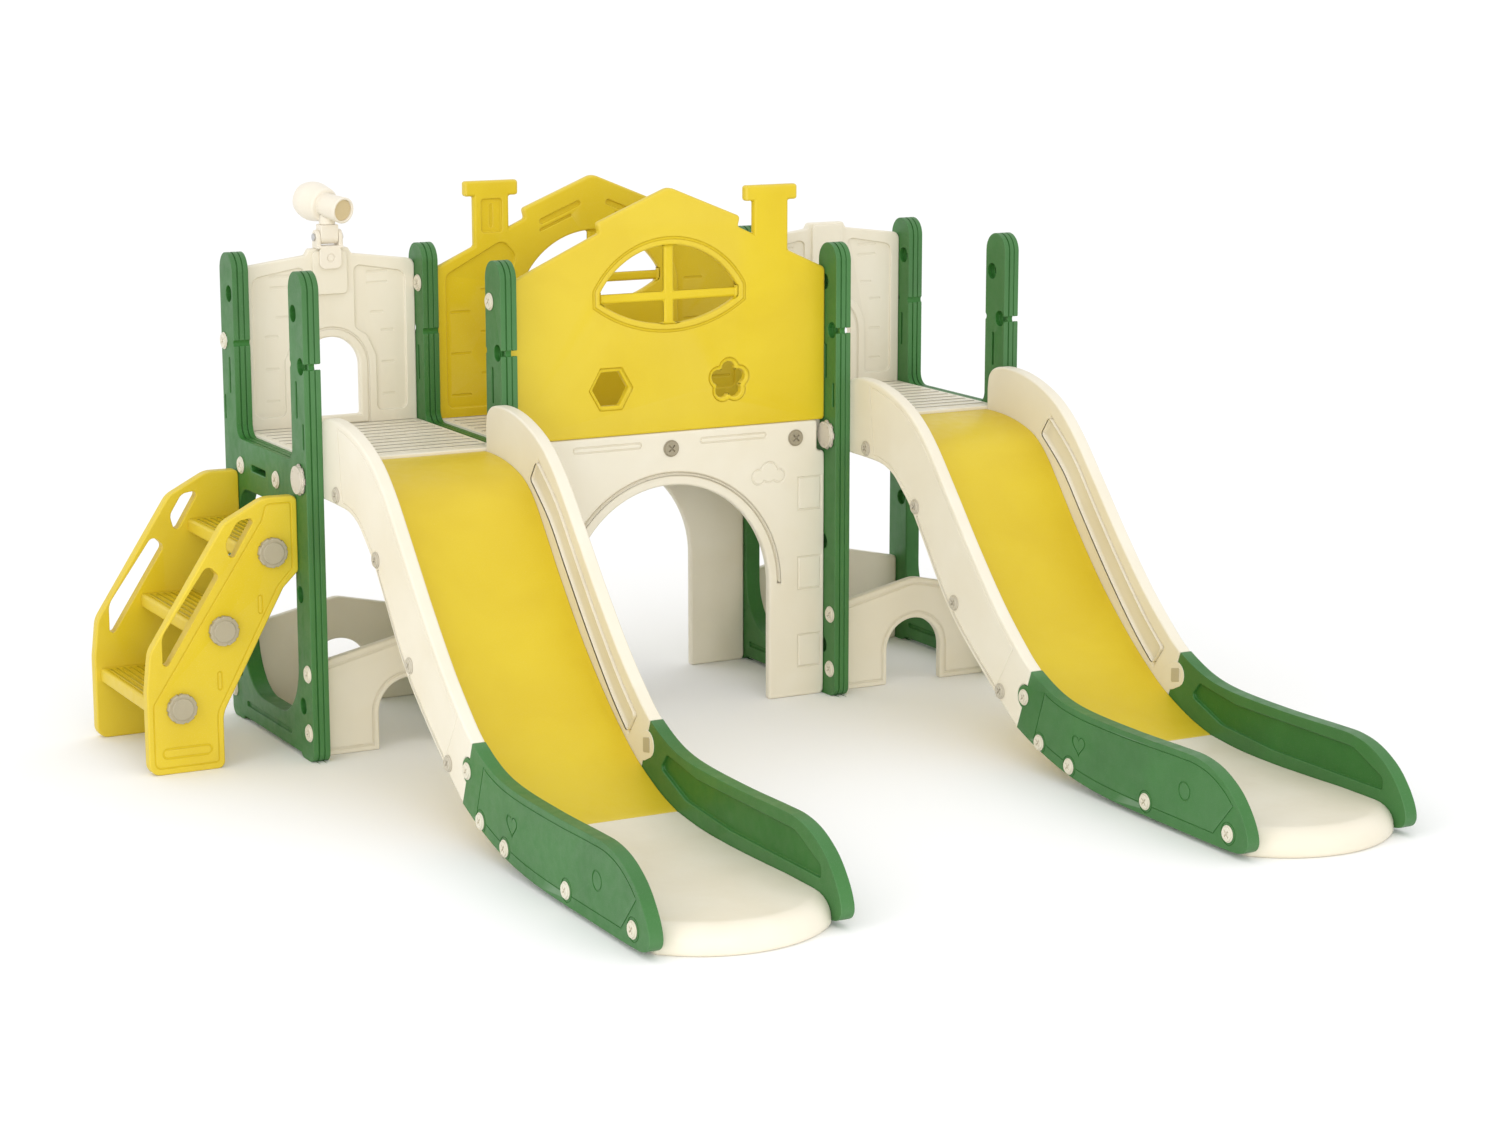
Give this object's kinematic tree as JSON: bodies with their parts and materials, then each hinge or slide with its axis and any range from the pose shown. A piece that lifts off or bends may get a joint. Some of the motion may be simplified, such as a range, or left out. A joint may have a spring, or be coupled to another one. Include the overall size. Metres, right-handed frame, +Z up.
{
  "type": "wave slide play set",
  "caption": "Toddler play set: wave slides in front of towers joined by a house bridge over arches, with a step ladder and a telescope.",
  "frame": {"origin": "middle of the footprint, on the floor", "axes": "+Z up; +X runs along the row of side frames, away from the ladder; the slides run out towards -Y"},
  "size_m": [2.215, 2.2495, 1.2486],
  "materials": {
    "green": "blow-moulded polyethylene, satin",
    "yellow": "blow-moulded polyethylene, satin",
    "cream": "blow-moulded polyethylene, satin",
    "cap": "injection-moulded plastic, satin",
    "grey": "injection-moulded plastic, satin",
    "tan": "injection-moulded plastic, satin",
    "steel": "zinc plated"
  },
  "bodies": {
    "structure": {"side_frame_1": "green", "side_frame_2": "green", "side_frame_3": "green", "side_frame_4": "green", "deck_left": "cream", "deck_house": "cream", "deck_right": "cream", "tower_panel_left": "cream", "tower_panel_right": "cream", "house_panel_front": "yellow", "house_panel_back": "yellow", "arch_panel_front": "cream", "arch_panel_back": "cream", "low_panel_left_front": "cream", "low_panel_left_back": "cream", "low_panel_right_front": "cream", "low_panel_right_back": "cream", "slide_1_bed": "yellow", "slide_1_runout": "cream", "slide_1_wall_left": "cream", "slide_1_wall_right": "cream", "slide_1_skirt_left": "green", "slide_1_skirt_right": "green", "slide_2_bed": "yellow", "slide_2_runout": "cream", "slide_2_wall_left": "cream", "slide_2_wall_right": "cream", "slide_2_skirt_left": "green", "slide_2_skirt_right": "green", "ladder_side_front": "yellow", "ladder_side_back": "yellow", "ladder_tread_low": "yellow", "ladder_tread_middle": "yellow", "ladder_tread_high": "yellow", "ladder_rods": "steel", "ladder_nuts": "grey", "scope_bracket": "cream", "scope_pin": "steel", "clamp_knobs": "grey", "frame_screws_1": "cap", "frame_screws_2": "cap", "frame_screws_3": "cap", "frame_screws_4": "cap", "arch_screws": "grey", "slide_1_screws": "cap", "slide_2_screws": "cap"},
    "scope_arm": {"scope_yoke": "cream"},
    "scope": {"scope_tube": "cream", "scope_lens": "tan"}
  },
  "joints": [
    {"name": "scope_tilt", "type": "hinge", "parent": "structure", "child": "scope_arm", "pos_m": [-0.4945, 1.03621, 1.123], "axis": [1, 0, 0], "range_deg": [-20, 20]},
    {"name": "scope_swivel", "type": "hinge", "parent": "scope_arm", "child": "scope", "pos_m": [-0.4945, 1.03621, 1.123], "axis": [0, 0, 1], "continuous": true}
  ]
}
